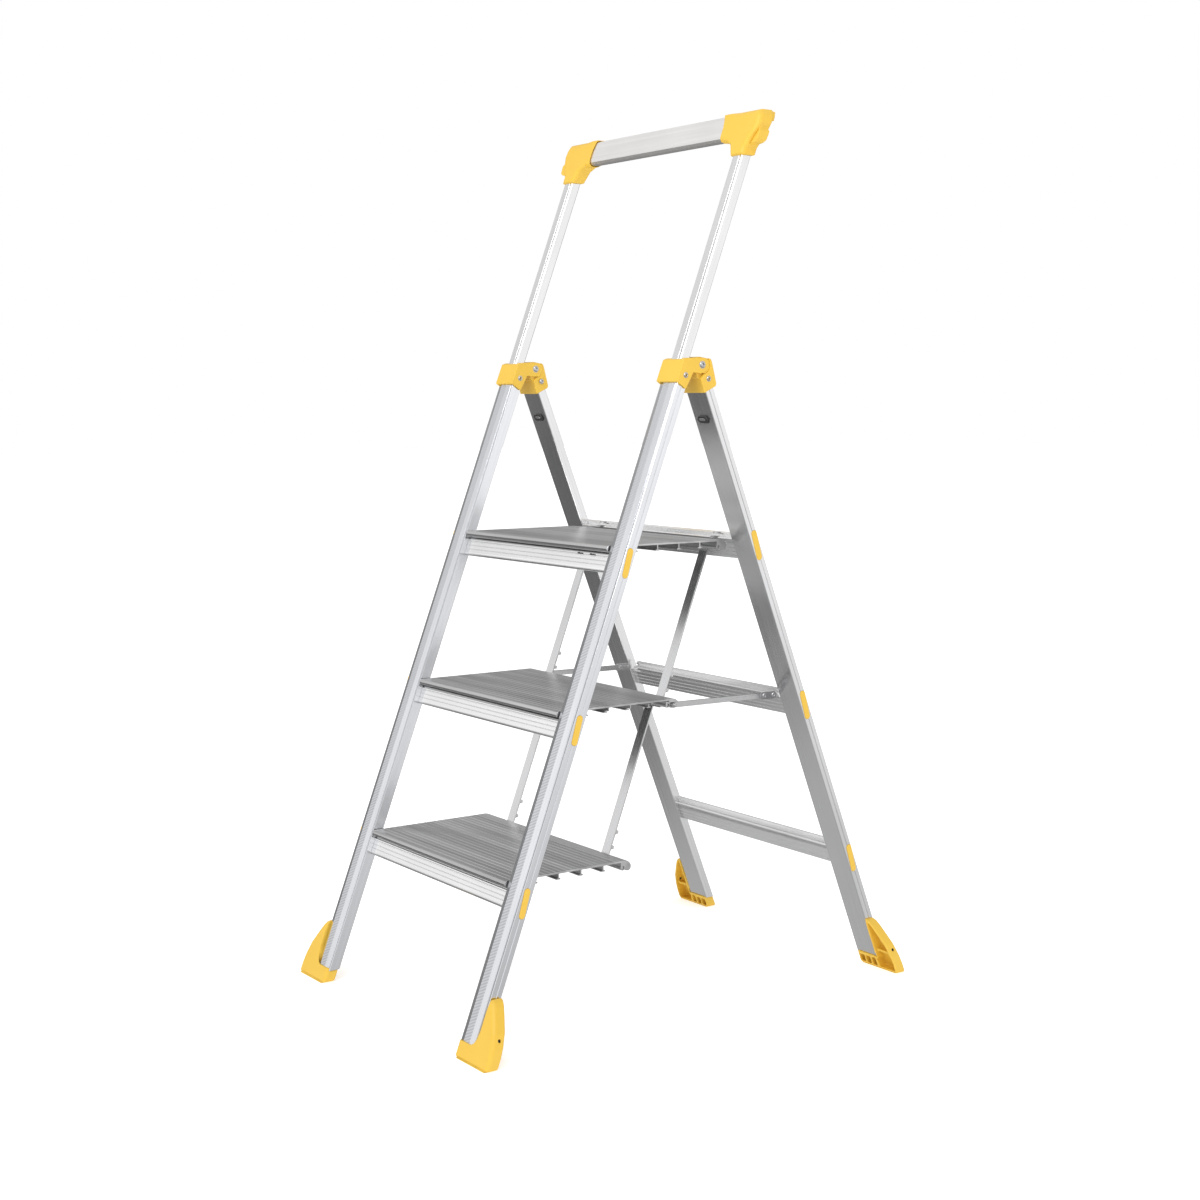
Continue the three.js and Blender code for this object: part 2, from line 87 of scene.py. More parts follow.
class Graph:
    """A node tree, with short calls for the nodes used here."""

    def __init__(self, tree):
        self.tree = tree

    def add(self, kind, **settings):
        node = self.tree.nodes.new(kind)
        for key, value in settings.items():
            setattr(node, key, value)
        return node

    def link(self, output, socket):
        self.tree.links.new(output, socket)

    def split(self, vector):
        node = self.add("ShaderNodeSeparateXYZ")
        self.link(vector, node.inputs[0])
        return node.outputs

    def ramp(self, factor, stops):
        node = self.add("ShaderNodeValToRGB")
        ramp = node.color_ramp
        while len(ramp.elements) < len(stops):
            ramp.elements.new(0.5)
        for element, (at, colour) in zip(ramp.elements, stops):
            element.position = at
            element.color = (*colour, 1)
        self.link(factor, node.inputs["Fac"])
        return node.outputs["Color"]

    def greys(self, factor, stops):
        return self.ramp(factor, [(at, (grey, grey, grey)) for at, grey in stops])

    def spread(self, factor, low=0.0, high=1.0, start=0.0, end=1.0):
        """Map the factor's run from start to end onto low to high."""
        node = self.add("ShaderNodeMapRange")
        for socket, value in (("From Min", start), ("From Max", end), ("To Min", low), ("To Max", high)):
            node.inputs[socket].default_value = value
        self.link(factor, node.inputs["Value"])
        return node.outputs["Result"]

    def math(self, operation, first, second):
        node = self.add("ShaderNodeMath", operation=operation)
        self.link(first, node.inputs[0])
        if isinstance(second, float):
            node.inputs[1].default_value = second
        else:
            self.link(second, node.inputs[1])
        return node.outputs[0]

    def mixed(self, factor, first, second):
        node = self.add("ShaderNodeMix", data_type="RGBA")
        self.link(factor, node.inputs["Factor"])
        self.link(first, node.inputs["A"])
        self.link(second, node.inputs["B"])
        return node.outputs["Result"]

    def multiplied(self, first, second):
        node = self.add("ShaderNodeMix", data_type="RGBA", blend_type="MULTIPLY")
        node.inputs["Factor"].default_value = 1.0
        self.link(first, node.inputs["A"])
        self.link(second, node.inputs["B"])
        return node.outputs["Result"]


class Look(Graph):
    """A material's node tree around one principled shader."""

    def __init__(self, name, base, roughness, metallic):
        self.material = bpy.data.materials.new(name)
        self.material.use_nodes = True
        super().__init__(self.material.node_tree)
        self.shader = self.tree.nodes["Principled BSDF"]
        self.shader.inputs["Base Color"].default_value = (*base, 1)
        self.shader.inputs["Roughness"].default_value = roughness
        self.shader.inputs["Metallic"].default_value = metallic
        self.place = self.add("ShaderNodeTexCoord").outputs["Object"]

    def stretched(self, scale, lean=0.0):
        """Coordinates turned so that a frame's lean runs along Z, then stretched."""
        turned = self.add("ShaderNodeMapping")
        turned.inputs["Rotation"].default_value = (lean, 0, 0)
        self.link(self.place, turned.inputs["Vector"])
        mapping = self.add("ShaderNodeMapping")
        mapping.inputs["Scale"].default_value = scale
        self.link(turned.outputs["Vector"], mapping.inputs["Vector"])
        return mapping.outputs["Vector"]

    def noise(self, vector, scale, detail):
        node = self.add("ShaderNodeTexNoise")
        node.inputs["Scale"].default_value = scale
        node.inputs["Detail"].default_value = detail
        node.inputs["Roughness"].default_value = 0.6
        self.link(vector, node.inputs["Vector"])
        return node.outputs["Fac"]

    def bump(self, height, strength, distance):
        node = self.add("ShaderNodeBump")
        node.inputs["Strength"].default_value = strength
        node.inputs["Distance"].default_value = distance
        self.link(height, node.inputs["Height"])
        self.link(node.outputs["Normal"], self.shader.inputs["Normal"])


# ---------- materials ----------

WHITE = (1, 1, 1)
DRIFT_GREY = (0.95, 0.95, 0.95)
METAL_RELIEF = 0.0003
PLASTIC_RELIEF = 0.00012

GRIP_MIDDLES = (0.2213, -0.2287)
GRIP_HALF = 0.0077
GRIP_ROUGHNESS = 0.4
KNURL_SCALE = 130
KNURL_SLANT = -0.5
KNURL_PAINTED_SHADE = (0.74, 0.745, 0.76)


def grip_band(m, streaks, smooth):
    """Fine slanted knurling on the front rails' grip band: bump and roughness, and the colour it returns,
    which paints shade into the knurl's cuts.
    """
    across = m.split(m.place)["X"]
    masks = []
    for middle in GRIP_MIDDLES:
        inside = m.add("ShaderNodeMath", operation="COMPARE")
        inside.inputs[1].default_value = middle
        inside.inputs[2].default_value = GRIP_HALF
        m.link(across, inside.inputs[0])
        masks.append(inside.outputs[0])
    mask = m.math("ADD", *masks)
    wave = m.add("ShaderNodeTexWave", bands_direction="DIAGONAL")
    wave.inputs["Scale"].default_value = KNURL_SCALE
    wave.inputs["Distortion"].default_value = 0.6
    m.link(m.stretched((KNURL_SLANT, 0, 1), FRONT_LEAN), wave.inputs["Vector"])
    cut = m.math("MULTIPLY", wave.outputs["Fac"], mask)
    m.bump(m.math("ADD", cut, m.math("MULTIPLY", streaks, 0.05)), 0.45, METAL_RELIEF)
    m.link(m.spread(mask, smooth, GRIP_ROUGHNESS), m.shader.inputs["Roughness"])
    # Painted shade: the knurl's cuts are darkened in colour.
    return m.ramp(cut, [(0.0, WHITE), (1.0, KNURL_PAINTED_SHADE)])


def aluminium(name, tint, roughness, grain, lean=0.0, streak_and_painted_shade=0.07, strength=0.012, grip=False):
    """Extruded aluminium: drawn streaks along the piece, and slow drift in tone over it; the treads' strong
    streaks are partly that grain and partly painted shade.
    """
    m = Look(name, tint, roughness, 1.0)
    streaks = m.noise(m.stretched(grain, lean), 1.0, 2.0)
    drift = m.noise(m.stretched((9, 9, 9)), 1.0, 1.0)
    # Darker tone of the streaks; on the treads it is partly painted shade.
    dark = tuple(c * (1 - streak_and_painted_shade) for c in tint)
    lined = m.ramp(streaks, [(0.3, dark), (0.7, tint)])
    colour = m.multiplied(lined, m.ramp(drift, [(0.3, DRIFT_GREY), (0.7, WHITE)]))
    if grip:
        # Painted shade of the knurl's cuts, multiplied into the rail's colour.
        colour = m.multiplied(colour, grip_band(m, streaks, roughness))
    else:
        m.link(m.spread(streaks, roughness - 0.04, roughness + 0.06), m.shader.inputs["Roughness"])
        m.bump(streaks, strength, METAL_RELIEF)
    m.link(colour, m.shader.inputs["Base Color"])
    return m.material


def plastic(name, tint, roughness):
    """Moulded plastic: a fine spark-eroded grain and slight colour drift."""
    m = Look(name, tint, roughness, 0.0)
    drift = m.noise(m.stretched((1, 1, 1)), 14.0, 2.0)
    deep = (tint[0] * 0.97, tint[1] * 0.94, tint[2] * 0.82)
    m.link(m.ramp(drift, [(0.25, deep), (0.75, tint)]), m.shader.inputs["Base Color"])
    grain = m.noise(m.stretched((1, 1, 1)), 1400.0, 2.0)
    m.link(m.spread(grain, roughness - 0.04, roughness + 0.08), m.shader.inputs["Roughness"])
    m.bump(grain, 0.1, PLASTIC_RELIEF)
    return m.material


MATERIALS = {
    "rail": aluminium("rail_aluminium", (0.89, 0.90, 0.93), 0.2, (420, 420, 3), FRONT_LEAN, grip=True),
    "tube": aluminium("tube_aluminium", (0.90, 0.90, 0.90), 0.2, (420, 420, 3), FRONT_LEAN),
    "rear_rail": aluminium("rear_rail_aluminium", (0.89, 0.89, 0.90), 0.24, (420, 420, 3), REAR_LEAN),
    "cross": aluminium("crossbar_aluminium", (0.97, 0.97, 0.97), 0.2, (3, 420, 420)),
    "bar": aluminium("hand_bar_aluminium", (0.99, 0.975, 0.965), 0.42, (3, 300, 300)),
    # Strong tread streaks: partly drawn grain, partly painted shade of dark bands along the tread.
    "tread": aluminium("tread_aluminium", (0.77, 0.77, 0.77), 0.3, (1.2, 34, 34), streak_and_painted_shade=0.42, strength=0.05),
    "link": aluminium("link_aluminium", (0.80, 0.80, 0.81), 0.26, (300, 300, 4), FRONT_LEAN),
    "steel": aluminium("steel", (0.62, 0.62, 0.63), 0.2, (90, 90, 90)),
    "yellow": plastic("yellow_plastic", (0.79, 0.505, 0.058), 0.42),
    # Dark plastic for the clips; on the foot screws it is painted shade in their recessed holes.
    "dark": plastic("dark_plastic", (0.03, 0.03, 0.032), 0.35),
    "socket": plastic("socket_shadow", (0.012, 0.010, 0.009), 0.6),
}
NODE_LOOK = (
    ("rail_front", "rail"), ("rail_rear", "rear_rail"), ("hand_tube", "tube"), ("link_rod", "steel"),
    ("link_", "link"), ("crossbar_", "cross"), ("hand_bar", "bar"), ("tread_", "tread"),
    ("plug_", "yellow"), ("bracket_", "yellow"), ("foot_", "yellow"), ("hand_corner", "yellow"),
    ("clip_", "dark"), ("", "steel"),
)
EDGE_RADIUS = (
    ("rail_", 0.1), ("crossbar_", 0.1), ("tread_", 0.14), ("hand_tube", 0.28), ("hand_bar", 0.5),
    ("link_rod", 0.4), ("link_", 0.45), ("spreader_", 0.5), ("plug_", 0.5), ("", 0.4),
)
WELD_DISTANCE = 2e-6


def by_start(name, table):
    """The value beside the first start in the table that the name begins with."""
    return next(value for start, value in table if name.startswith(start))


def modify(obj, kind, **settings):
    modifier = obj.modifiers.new(kind.lower(), kind)
    for key, value in settings.items():
        setattr(modifier, key, value)


def dress_cad_nodes():
    """Material and softly broken edges on every carried-over node."""
    for name, obj in NODES.items():
        obj.data.materials.clear()
        obj.data.materials.append(MATERIALS[by_start(name, NODE_LOOK)])
        modify(obj, "WELD", merge_threshold=WELD_DISTANCE)
        modify(obj, "BEVEL", width=by_start(name, EDGE_RADIUS) * MM, segments=2, limit_method="ANGLE",
               angle_limit=math.radians(28), use_clamp_overlap=False, harden_normals=True)


# ---------- mesh helpers ----------

def new_object(name, mesh, look, body, replaced=()):
    obj = bpy.data.objects.new(name, mesh)
    bpy.context.scene.collection.objects.link(obj)
    mesh.materials.clear()
    mesh.materials.append(MATERIALS[look])
    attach(obj, body)
    if replaced:
        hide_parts(*replaced)
    return obj


def mesh_from(name, bm, smooth_angle=35):
    bmesh.ops.recalc_face_normals(bm, faces=bm.faces)
    for face in bm.faces:
        face.smooth = True
    for edge in bm.edges:
        if len(edge.link_faces) == 2 and edge.calc_face_angle(0) > math.radians(smooth_angle):
            edge.smooth = False
    mesh = bpy.data.meshes.new(name)
    bm.to_mesh(mesh)
    bm.free()
    return mesh


def freeze(obj):
    """The object's mesh with its modifiers worked in."""
    graph = bpy.context.evaluated_depsgraph_get()
    graph.update()
    mesh = bpy.data.meshes.new_from_object(obj.evaluated_get(graph))
    obj.modifiers.clear()
    old = obj.data
    obj.data = mesh
    bpy.data.meshes.remove(old)
    return mesh


def outline_distance(points, outline):
    """Distance of 2D points from a closed outline."""
    corners = np.array(outline, float)
    best = np.full(len(points), np.inf)
    for a, b in zip(corners, np.roll(corners, -1, axis=0)):
        run = b - a
        along = np.clip(((points - a) @ run) / (run @ run), 0, 1)
        best = np.minimum(best, np.linalg.norm(points - a - along[:, None] * run, axis=1))
    return best


def prism(bm, ring, push):
    """Add the closed solid between a ring of points and the same ring pushed along."""
    near = [bm.verts.new(point) for point in ring]
    far = [bm.verts.new(point + push) for point in ring]
    bm.faces.new(near)
    bm.faces.new(far[::-1])
    for i, vert in enumerate(near):
        after = (i + 1) % len(near)
        bm.faces.new((vert, far[i], far[after], near[after]))


def slab(name, look, body, ring, push, soft):
    """A flat plate with broken edges."""
    bm = bmesh.new()
    prism(bm, ring, push)
    obj = new_object(name, mesh_from(name, bm), look, body)
    modify(obj, "BEVEL", width=soft * MM, segments=3, limit_method="ANGLE", angle_limit=math.radians(30))


def tool_object(bm):
    """A passing object that cuts others, from its mesh."""
    obj = bpy.data.objects.new("tool", mesh_from("tool", bm))
    bpy.context.scene.collection.objects.link(obj)
    return obj


def tool_prism(ring, push):
    bm = bmesh.new()
    prism(bm, ring, push)
    return tool_object(bm)


def tool_rod(start, end, radius):
    bm = bmesh.new()
    run = end - start
    turn = run.to_track_quat("Z", "Y").to_matrix().to_4x4()
    bmesh.ops.create_cone(bm, cap_ends=True, segments=24, radius1=radius * MM, radius2=radius * MM,
                          depth=run.length, matrix=Matrix.Translation((start + end) / 2) @ turn)
    return tool_object(bm)


# ---------- moulded plastic ----------

def remoulded(node, voxel=0.85, rounds=5, tools=(), extras=()):
    """A dense, softened copy of a CAD node: extra solids are merged in, and tools are cut out."""
    mesh = NODES[node].data.copy()
    if extras:
        bm = bmesh.new()
        bm.from_mesh(mesh)
        for ring, push in extras:
            before = set(bm.faces)
            prism(bm, ring, push)
            bmesh.ops.recalc_face_normals(bm, faces=[face for face in bm.faces if face not in before])
        bm.to_mesh(mesh)
        bm.free()
    obj = new_object(f"{node}_moulding", mesh, "yellow", BODY_OF[node], (node,))
    modify(obj, "WELD", merge_threshold=WELD_DISTANCE)
    if extras and tools:
        modify(obj, "REMESH", mode="VOXEL", voxel_size=voxel * MM)
    for tool in tools:
        modify(obj, "BOOLEAN", operation="DIFFERENCE", object=tool, solver="EXACT")
    modify(obj, "REMESH", mode="VOXEL", voxel_size=voxel * MM)
    modify(obj, "SMOOTH", factor=0.5, iterations=rounds)
    freeze(obj)
    for tool in tools:
        bpy.data.objects.remove(tool)
    return obj


def read_points(mesh):
    """The mesh's points in drawing millimetres."""
    points = np.empty(len(mesh.vertices) * 3)
    mesh.vertices.foreach_get("co", points)
    points = points.reshape(-1, 3) / MM
    points[:, 1] += MIDDLE_Y
    return points


def write_points(mesh, points):
    points = points.copy()
    points[:, 1] -= MIDDLE_Y
    mesh.vertices.foreach_set("co", (points * MM).ravel())
    mesh.update()


def thin_out(obj, ratio):
    modify(obj, "DECIMATE", decimate_type="COLLAPSE", ratio=ratio)
    mesh = freeze(obj)
    for polygon in mesh.polygons:
        polygon.use_smooth = True
    mesh.materials.clear()
    mesh.materials.append(MATERIALS["yellow"])


def round_sides(depths, distance, radius, reach, near, far):
    """How far a plate's points move to fillet its rims; near and far are (plane, radius scale)."""
    inside = np.clip(radius - distance, 0, radius)
    shift = radius - np.sqrt(radius * radius - inside * inside)
    (low, low_scale), (high, high_scale) = near, far
    toward_low = np.clip(1 - (depths - low) / reach, 0, 1)
    toward_high = np.clip(1 - (high - depths) / reach, 0, 1)
    return shift * (low_scale * toward_low - high_scale * toward_high)


# ---------- feet ----------

FOOT_OUTLINE = [
    (204.4, 3), (207, 0), (287, 0), (290.6, 1.4), (291.8, 5), (291.6, 16), (289.2, 31), (282.6, 50),
    (269, 71), (262, 81), (256.5, 86.6), (252, 88.8), (249, 89.2), (240, 60), (225, 40), (204.4, 36),
]
FOOT_WALL = [(247.5, 17.6), (252.8, 17.6), (252.8, 33), (250.9, 33), (250.9, 19.8), (247.5, 19.8)]
FOOT_LIP = [(203, 20.7), (249.9, 20.7), (249.9, 52), (203, 52)]
FOOT_RIB = [(253.4, 28.5), (285, 28.5), (283, 36.5), (253.4, 36.5)]
RIB_SETBACK = 6.5
LIP_END = -0.4
CUT_START = 2
SOLE_CENTRE = np.array([213.4, 9.0])
SOLE_RADIUS = 9.0
SOLE_BAND = 0.6
FOOT_EDGE = 6.0
FOOT_EDGE_REACH = 9.0
FOOT_SCREW = ((281, 9.5, 38.6), (296, 9.5, 45))
FOOT_SCREW_HOLE = 2.7
FOOT_SCREW_SEAT = 0.13
FAR_AWAY = 1e3
FOOT_KINDS = {
    "front": (front_place, FRONT_SLOPE, 0, (-3, 18.5), (1.0, 0.45)),
    "rear": (rear_place, REAR_SLOPE, REAR_ORIGIN, (-2.3, 18.9), (0.45, 1.0)),
}


def foot_tools(kind, side, spot, near, far, screw_line):
    """The screw hole, the inner rib's setback from the open side, and the rear foot's missing lip."""
    opening, inwards = (far + CUT_START, -1) if kind == "front" else (near - CUT_START, 1)
    rib = [spot(side * x, opening, z) for x, z in FOOT_RIB]
    setback = inwards * (RIB_SETBACK + CUT_START)
    tools = [tool_rod(*screw_line, FOOT_SCREW_HOLE), tool_prism(rib, Vector((0, setback * MM, 0)))]
    if kind == "rear":
        lip = [spot(side * x, near - CUT_START, z) for x, z in FOOT_LIP]
        tools.append(tool_prism(lip, Vector((0, (LIP_END + CUT_START - near) * MM, 0))))
    return tools


def round_sole(flat):
    """Bring the inner end of the sole inside a quarter circle."""
    toe = flat - SOLE_CENTRE
    past = (toe < 0).all(axis=1) & (np.linalg.norm(toe, axis=1) > SOLE_RADIUS)
    toe[past] *= (SOLE_RADIUS / np.linalg.norm(toe[past], axis=1))[:, None]
    return toe + SOLE_CENTRE


def make_foot(kind, label):
    """A splayed foot with rounded rims; the flat underside keeps its edge."""
    side = SIDES[label]
    node = f"foot_{kind}_{label}"
    spot, slope, origin, (near, far), (near_scale, far_scale) = FOOT_KINDS[kind]
    inner, outer = (spot(side * x, t, z) for x, t, z in FOOT_SCREW)
    wall = [spot(side * x, near + 0.2, z) for x, z in FOOT_WALL]
    obj = remoulded(node, tools=foot_tools(kind, side, spot, near, far, (inner, outer)),
                    extras=[(wall, Vector((0, (far - near - 0.4) * MM, 0)))])
    points = read_points(obj.data)
    depth = points[:, 1] - origin - slope * points[:, 2]
    flat = round_sole(np.stack([points[:, 0] * side, points[:, 2]], axis=1))
    distance = outline_distance(flat, FOOT_OUTLINE)
    distance[flat[:, 1] < SOLE_BAND] = FAR_AWAY
    depth += round_sides(depth, distance, FOOT_EDGE, FOOT_EDGE_REACH, (near, near_scale), (far, far_scale))
    points[:, 0] = flat[:, 0] * side
    points[:, 2] = flat[:, 1]
    points[:, 1] = depth + origin + slope * points[:, 2]
    write_points(obj.data, points)
    thin_out(obj, 0.4)
    seat = inner.lerp(outer, FOOT_SCREW_SEAT)
    # Painted shade: the screw takes the dark plastic so that its recessed hole reads dark.
    screw(f"foot_screw_{kind}_{label}", BODY_OF[node], seat, outer - inner, 2.5, 1.2, "dark")


# ---------- hand corners ----------

CORNER_OUTLINE = [
    (210, 1302), (240.5, 1302), (240.5, 1313), (254, 1337), (258, 1350), (255.6, 1362), (250, 1370.5),
    (168.5, 1370.5), (175, 1346), (178, 1335), (201, 1320),
]
CORNER_RIB = [(243, 1317.5), (255, 1319.5), (260.5, 1323.5), (261.5, 1336), (257, 1341), (246, 1338)]
CORNER_RIB_DEPTH = 20
CORNER_LINE = [(243, 1311.5), (262, 1316.5), (262, 1318.3), (243, 1313.3)]
CORNER_LINE_START = -9
CORNER_LINE_DEPTH = 9.5
CORNER_EDGE = 8.0
CORNER_EDGE_REACH = 11
CORNER_EASE = (184, 202)
CORNER_FRONT = -5
CORNER_BACK = 24
BAR_SECTION = [
    (-3, 1338), (-1.6, 1333), (2, 1329.6), (8, 1328), (16, 1328.4), (22, 1332), (25.4, 1340),
    (25.8, 1352), (23.4, 1362), (17, 1367), (0, 1367.6), (-3, 1365.6),
]
BAR_SEAM_START = 165
BAR_SEAM_WIDTH = 11.5
BAR_SEAM_GROWTH = 1.075


def make_corner(label):
    """A hand corner: convex front, rear beak, raised rib block on the outside and a seam at the bar."""
    side = SIDES[label]
    rib = [front_place(side * x, 0, z) for x, z in CORNER_RIB]
    middle = np.mean(BAR_SECTION, axis=0)
    grown = [middle + (np.array(point) - middle) * BAR_SEAM_GROWTH for point in BAR_SECTION]
    seam = [front_place(side * BAR_SEAM_START, t, z) for t, z in grown]
    line = [front_place(side * x, CORNER_LINE_START, z) for x, z in CORNER_LINE]
    obj = remoulded(
        f"hand_corner_{label}", rounds=7, extras=[(rib, Vector((0, CORNER_RIB_DEPTH * MM, 0)))],
        tools=[tool_prism(seam, Vector((side * BAR_SEAM_WIDTH * MM, 0, 0))),
               tool_prism(line, Vector((0, CORNER_LINE_DEPTH * MM, 0)))])
    points = read_points(obj.data)
    depth = points[:, 1] - FRONT_SLOPE * points[:, 2]
    flat = np.stack([points[:, 0] * side, points[:, 2]], axis=1)
    start, end = CORNER_EASE
    ease = np.clip((flat[:, 0] - start) / (end - start), 0, 1)
    shift = round_sides(depth, outline_distance(flat, CORNER_OUTLINE), CORNER_EDGE, CORNER_EDGE_REACH,
                        (CORNER_FRONT, 1.0), (CORNER_BACK, 0.5))
    points[:, 1] = depth + ease * shift + FRONT_SLOPE * points[:, 2]
    write_points(obj.data, points)
    thin_out(obj, 0.4)


# ---------- brackets ----------

EAR_FACES = (("outer", 246.9), ("inner", 199.5))
EAR_THICK = 3.5
EAR_RIM_RADII = (13.9, 11.2)
EAR_RIM_START = -72
EAR_RIM_TURN = 104
EAR_RIM_STEPS = 20
EAR_PLATES = (203.8, 245.8)
EAR_BAND = (10.5, 12.9)
EAR_ANGLES = (-80, 30)
EAR_GROWTH = 0.6


def make_bracket(kind, label):
    """A pivot bracket with softly rounded rims; the front one's ears close in on the rear one's skirt."""
    node = f"bracket_{kind}_{label}"
    obj = remoulded(node, voxel=0.55, rounds=8)
    if kind == "front":
        for face, x in EAR_FACES:
            make_ear_rim(f"{node}_rim_{face}", BODY_OF[node], SIDES[label] * x, SIDES[label] * EAR_THICK)
        grow_ears(obj.data)
    thin_out(obj, 0.22)


def grow_ears(mesh):
    points = read_points(mesh)
    across = points[:, 1:] - np.array(PIVOT)
    reach = np.linalg.norm(across, axis=1)
    angle = np.degrees(np.arctan2(across[:, 1], across[:, 0]))
    plate = (np.abs(points[:, 0]) > EAR_PLATES[1]) | (np.abs(points[:, 0]) < EAR_PLATES[0])
    in_band = (reach > EAR_BAND[0]) & (reach < EAR_BAND[1])
    rim = plate & in_band & (angle > EAR_ANGLES[0]) & (angle < EAR_ANGLES[1])
    grow = np.where(rim, 1 + EAR_GROWTH * np.clip((reach - EAR_BAND[0]) / 2, 0, 1) / reach, 1)
    points[:, 1:] = np.array(PIVOT) + across * grow[:, None]
    write_points(mesh, points)


def make_ear_rim(name, body, x, thick):
    """The crisp rim of a front ear, where it turns inside the rear bracket's skirt."""
    outer, inner = EAR_RIM_RADII
    steps = range(EAR_RIM_STEPS + 1)
    ring = []
    for reach, order in ((outer, steps), (inner, reversed(steps))):
        for i in order:
            angle = math.radians(EAR_RIM_START + EAR_RIM_TURN * i / EAR_RIM_STEPS)
            ring.append(place(x, PIVOT[0] + reach * math.cos(angle), PIVOT[1] + reach * math.sin(angle)))
    slab(name, "yellow", body, ring, Vector((thick * MM, 0, 0)), 0.25)


# ---------- screws and fittings ----------

SCREW_RINGS = [
    (1.18, 0.0, 0), (1.18, 0.14, 0), (1.02, 0.16, 0), (1.0, 0.3, 0), (0.95, 0.6, 0), (0.84, 0.86, 0),
    (0.68, 1.0, 0), (0.58, 1.0, 0.6), (0.54, 0.9, 1), (0.5, 0.1, 1),
]
SCREW_SIDES = 36
SIXTH = math.pi / 3

BRACKET_FACES = (("outer", 250.7, 1, 1.4), ("inner", 199.3, -1, -1.0))
BRACKET_SCREWS = (
    ("pivot", PIVOT, "front_frame", 4.9), ("front", (377.2, 973), "front_frame", 3.7),
    ("rear", (419.5, 968), "rear_frame", 3.7),
)
SCREW_SINK = 0.3

CLIP_CENTRE = (225, 907)
CLIP_SCALE = 0.82
CLIP_OUTER = [(-15.4, 0), (-10.5, -6.8), (10.5, -6.8), (15.4, 0), (10.5, 6.8), (-10.5, 6.8)]
CLIP_INNER = [(-9.5, 0), (-7, -2.6), (7, -2.6), (9.5, 0), (7, 2.6), (-7, 2.6)]
CLIP_RINGS = [
    (CLIP_OUTER, -0.3, 1.0), (CLIP_OUTER, -2.6, 1.0), (CLIP_OUTER, -4.3, 0.82), (CLIP_INNER, -4.3, 1.1),
    (CLIP_INNER, -3.2, 1.0), (CLIP_INNER, -0.3, 1.0),
]
TONGUE_DEPTHS = (-0.4, -4.1)
TONGUE_SCALE = 0.7

SPREADER_START = (FRONT_SLOPE * MID_LEVEL - 3.9 + 222, MID_LEVEL - 10.8)
SPREADER_END = (598.42, 469)
SPREADER_PLATE = [(5.5, -3), (5.5, 3), (2, 6), (-24, 6), (-27, 3.4), (-27, -3.4), (-24, -6), (2, -6)]
SPREADER_PLATE_X = 196.7
SPREADER_PLATE_THICK = 1.2
SPREADER_BOLTS_BACK = (0, -19)


def screw(name, body, centre, facing, radius, height, look="steel"):
    """A button head with a six-sided socket, in a thin dark rim of shadow."""
    bm = bmesh.new()
    turn = facing.to_track_quat("Z", "Y").to_matrix()
    loops = []
    for reach, rise, hexed in SCREW_RINGS:
        loop = []
        for i in range(SCREW_SIDES):
            angle = 2 * math.pi * i / SCREW_SIDES
            flat = math.cos(SIXTH / 2) / math.cos((angle % SIXTH) - SIXTH / 2)
            grow = reach * radius * (1 + hexed * (flat - 1))
            point = Vector((grow * math.cos(angle), grow * math.sin(angle), rise * height)) * MM
            loop.append(bm.verts.new(centre + turn @ point))
        loops.append(loop)
    dark_rows = (0, 1, len(loops) - 2)
    for row, (low, high) in enumerate(zip(loops, loops[1:])):
        for i in range(SCREW_SIDES):
            after = (i + 1) % SCREW_SIDES
            face = bm.faces.new((low[i], low[after], high[after], high[i]))
            face.material_index = int(row in dark_rows)
    bm.faces.new(loops[0][::-1])
    bm.faces.new(loops[-1]).material_index = 1
    obj = new_object(name, mesh_from(name, bm), look, body)
    obj.data.materials.append(MATERIALS["socket"])


def make_bracket_screws():
    for label, side in SIDES.items():
        for face, x, out, rear_step in BRACKET_FACES:
            away = Vector((side * out, 0, 0))
            for kind, (y, z), body, radius in BRACKET_SCREWS:
                step = rear_step if kind == "rear" else 0
                centre = place(side * (x + step), y, z) - away * SCREW_SINK * MM
                screw(f"bracket_screw_{kind}_{face}_{label}", body, centre, away, radius, 2.0)


def make_clip(label):
    """A dark six-sided catch on the rear rail's face, with a bright tongue in its slit."""
    side = SIDES[label]
    node = f"clip_{label}"

    def spot(x, z, t, grow, rise):
        return rear_place(side * (CLIP_CENTRE[0] + grow * x), t, CLIP_CENTRE[1] + rise * z)

    bm = bmesh.new()
    loops = []
    for outline, t, grow in CLIP_RINGS:
        size = grow * CLIP_SCALE
        loops.append([bm.verts.new(spot(x, z, t, size, size)) for x, z in outline])
    loops.append(loops[0])
    for low, high in zip(loops, loops[1:]):
        for i in range(6):
            bm.faces.new((low[i], low[(i + 1) % 6], high[(i + 1) % 6], high[i]))
    catch = new_object(f"{node}_catch", mesh_from(node, bm), "dark", BODY_OF[node], (node,))
    modify(catch, "BEVEL", width=0.5 * MM, segments=3, limit_method="ANGLE", angle_limit=math.radians(20))
    foot, tip = TONGUE_DEPTHS
    tongue = [spot(x, z, foot, CLIP_SCALE, TONGUE_SCALE) for x, z in CLIP_INNER]
    slab(f"{node}_tongue", "cross", BODY_OF[node], tongue, Vector((0, (tip - foot) * MM, 0)), 0.5)


